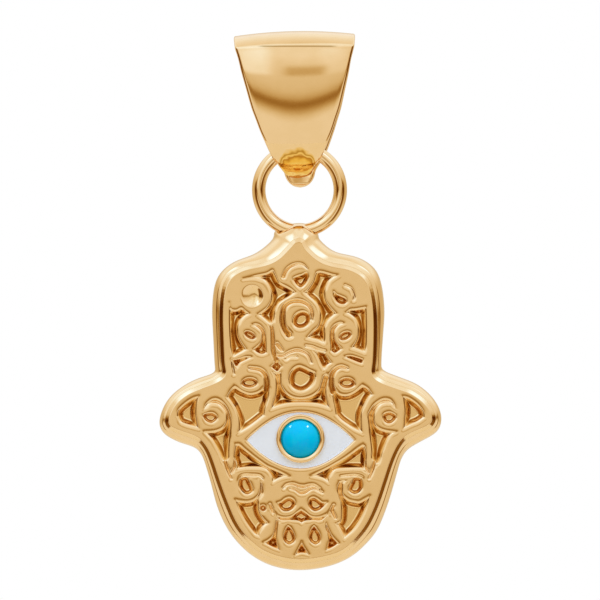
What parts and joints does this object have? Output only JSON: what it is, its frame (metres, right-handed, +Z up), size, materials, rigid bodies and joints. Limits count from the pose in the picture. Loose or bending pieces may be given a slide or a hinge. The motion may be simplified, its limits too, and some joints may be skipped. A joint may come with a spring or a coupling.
{
  "type": "hamsa pendant",
  "caption": "Hand-shaped charm with raised scrollwork and an enamel eye round a blue stone, swinging on a ring from a tapered bail.",
  "frame": {"origin": "where a chain bears, inside the top of the bail", "axes": "+Z up, +X to the right as seen from the front, the face of the hand looks along -Y"},
  "size_m": [0.0183, 0.0044, 0.0351],
  "materials": {
    "polished_gold": "high polish",
    "cast_gold": "polished casting",
    "white_enamel": "gloss",
    "turquoise": "polished"
  },
  "bodies": {
    "bail": {"bail": "polished_gold"},
    "pendant": {"hamsa_body": "cast_gold", "white_enamel": "white_enamel", "turquoise_cabochon": "turquoise"}
  },
  "joints": [
    {"name": "ring_swing", "type": "hinge", "parent": "bail", "child": "pendant", "pos_m": [0, 0, -0.00718], "axis": [1, 0, 0], "range_deg": [-45, 45]}
  ]
}
